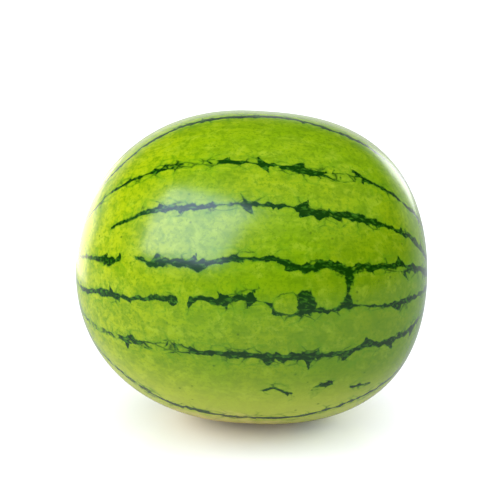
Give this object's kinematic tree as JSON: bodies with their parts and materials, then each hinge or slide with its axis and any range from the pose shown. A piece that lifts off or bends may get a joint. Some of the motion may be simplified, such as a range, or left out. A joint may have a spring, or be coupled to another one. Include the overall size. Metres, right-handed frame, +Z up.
{
  "type": "watermelon",
  "caption": "Whole striped watermelon lying on its side, plump rounded oblong with a sunken stalk end, a short dry stalk stub and a small flat rest spot.",
  "frame": {"origin": "on the surface the fruit rests on, under the middle of its bounding box", "axes": "+Z up; +X along the fruit from the stalk end to the blossom end; -Y is the full side that faces the viewer"},
  "size_m": [0.2526, 0.229, 0.2284],
  "materials": {
    "skin": "satin waxy rind, lime green with thin jagged dark green veins running end to end",
    "dry_stalk": "dry, fibrous and matt"
  },
  "bodies": {
    "root": {"watermelon_body": "skin", "stalk_stub": "dry_stalk"}
  },
  "joints": []
}
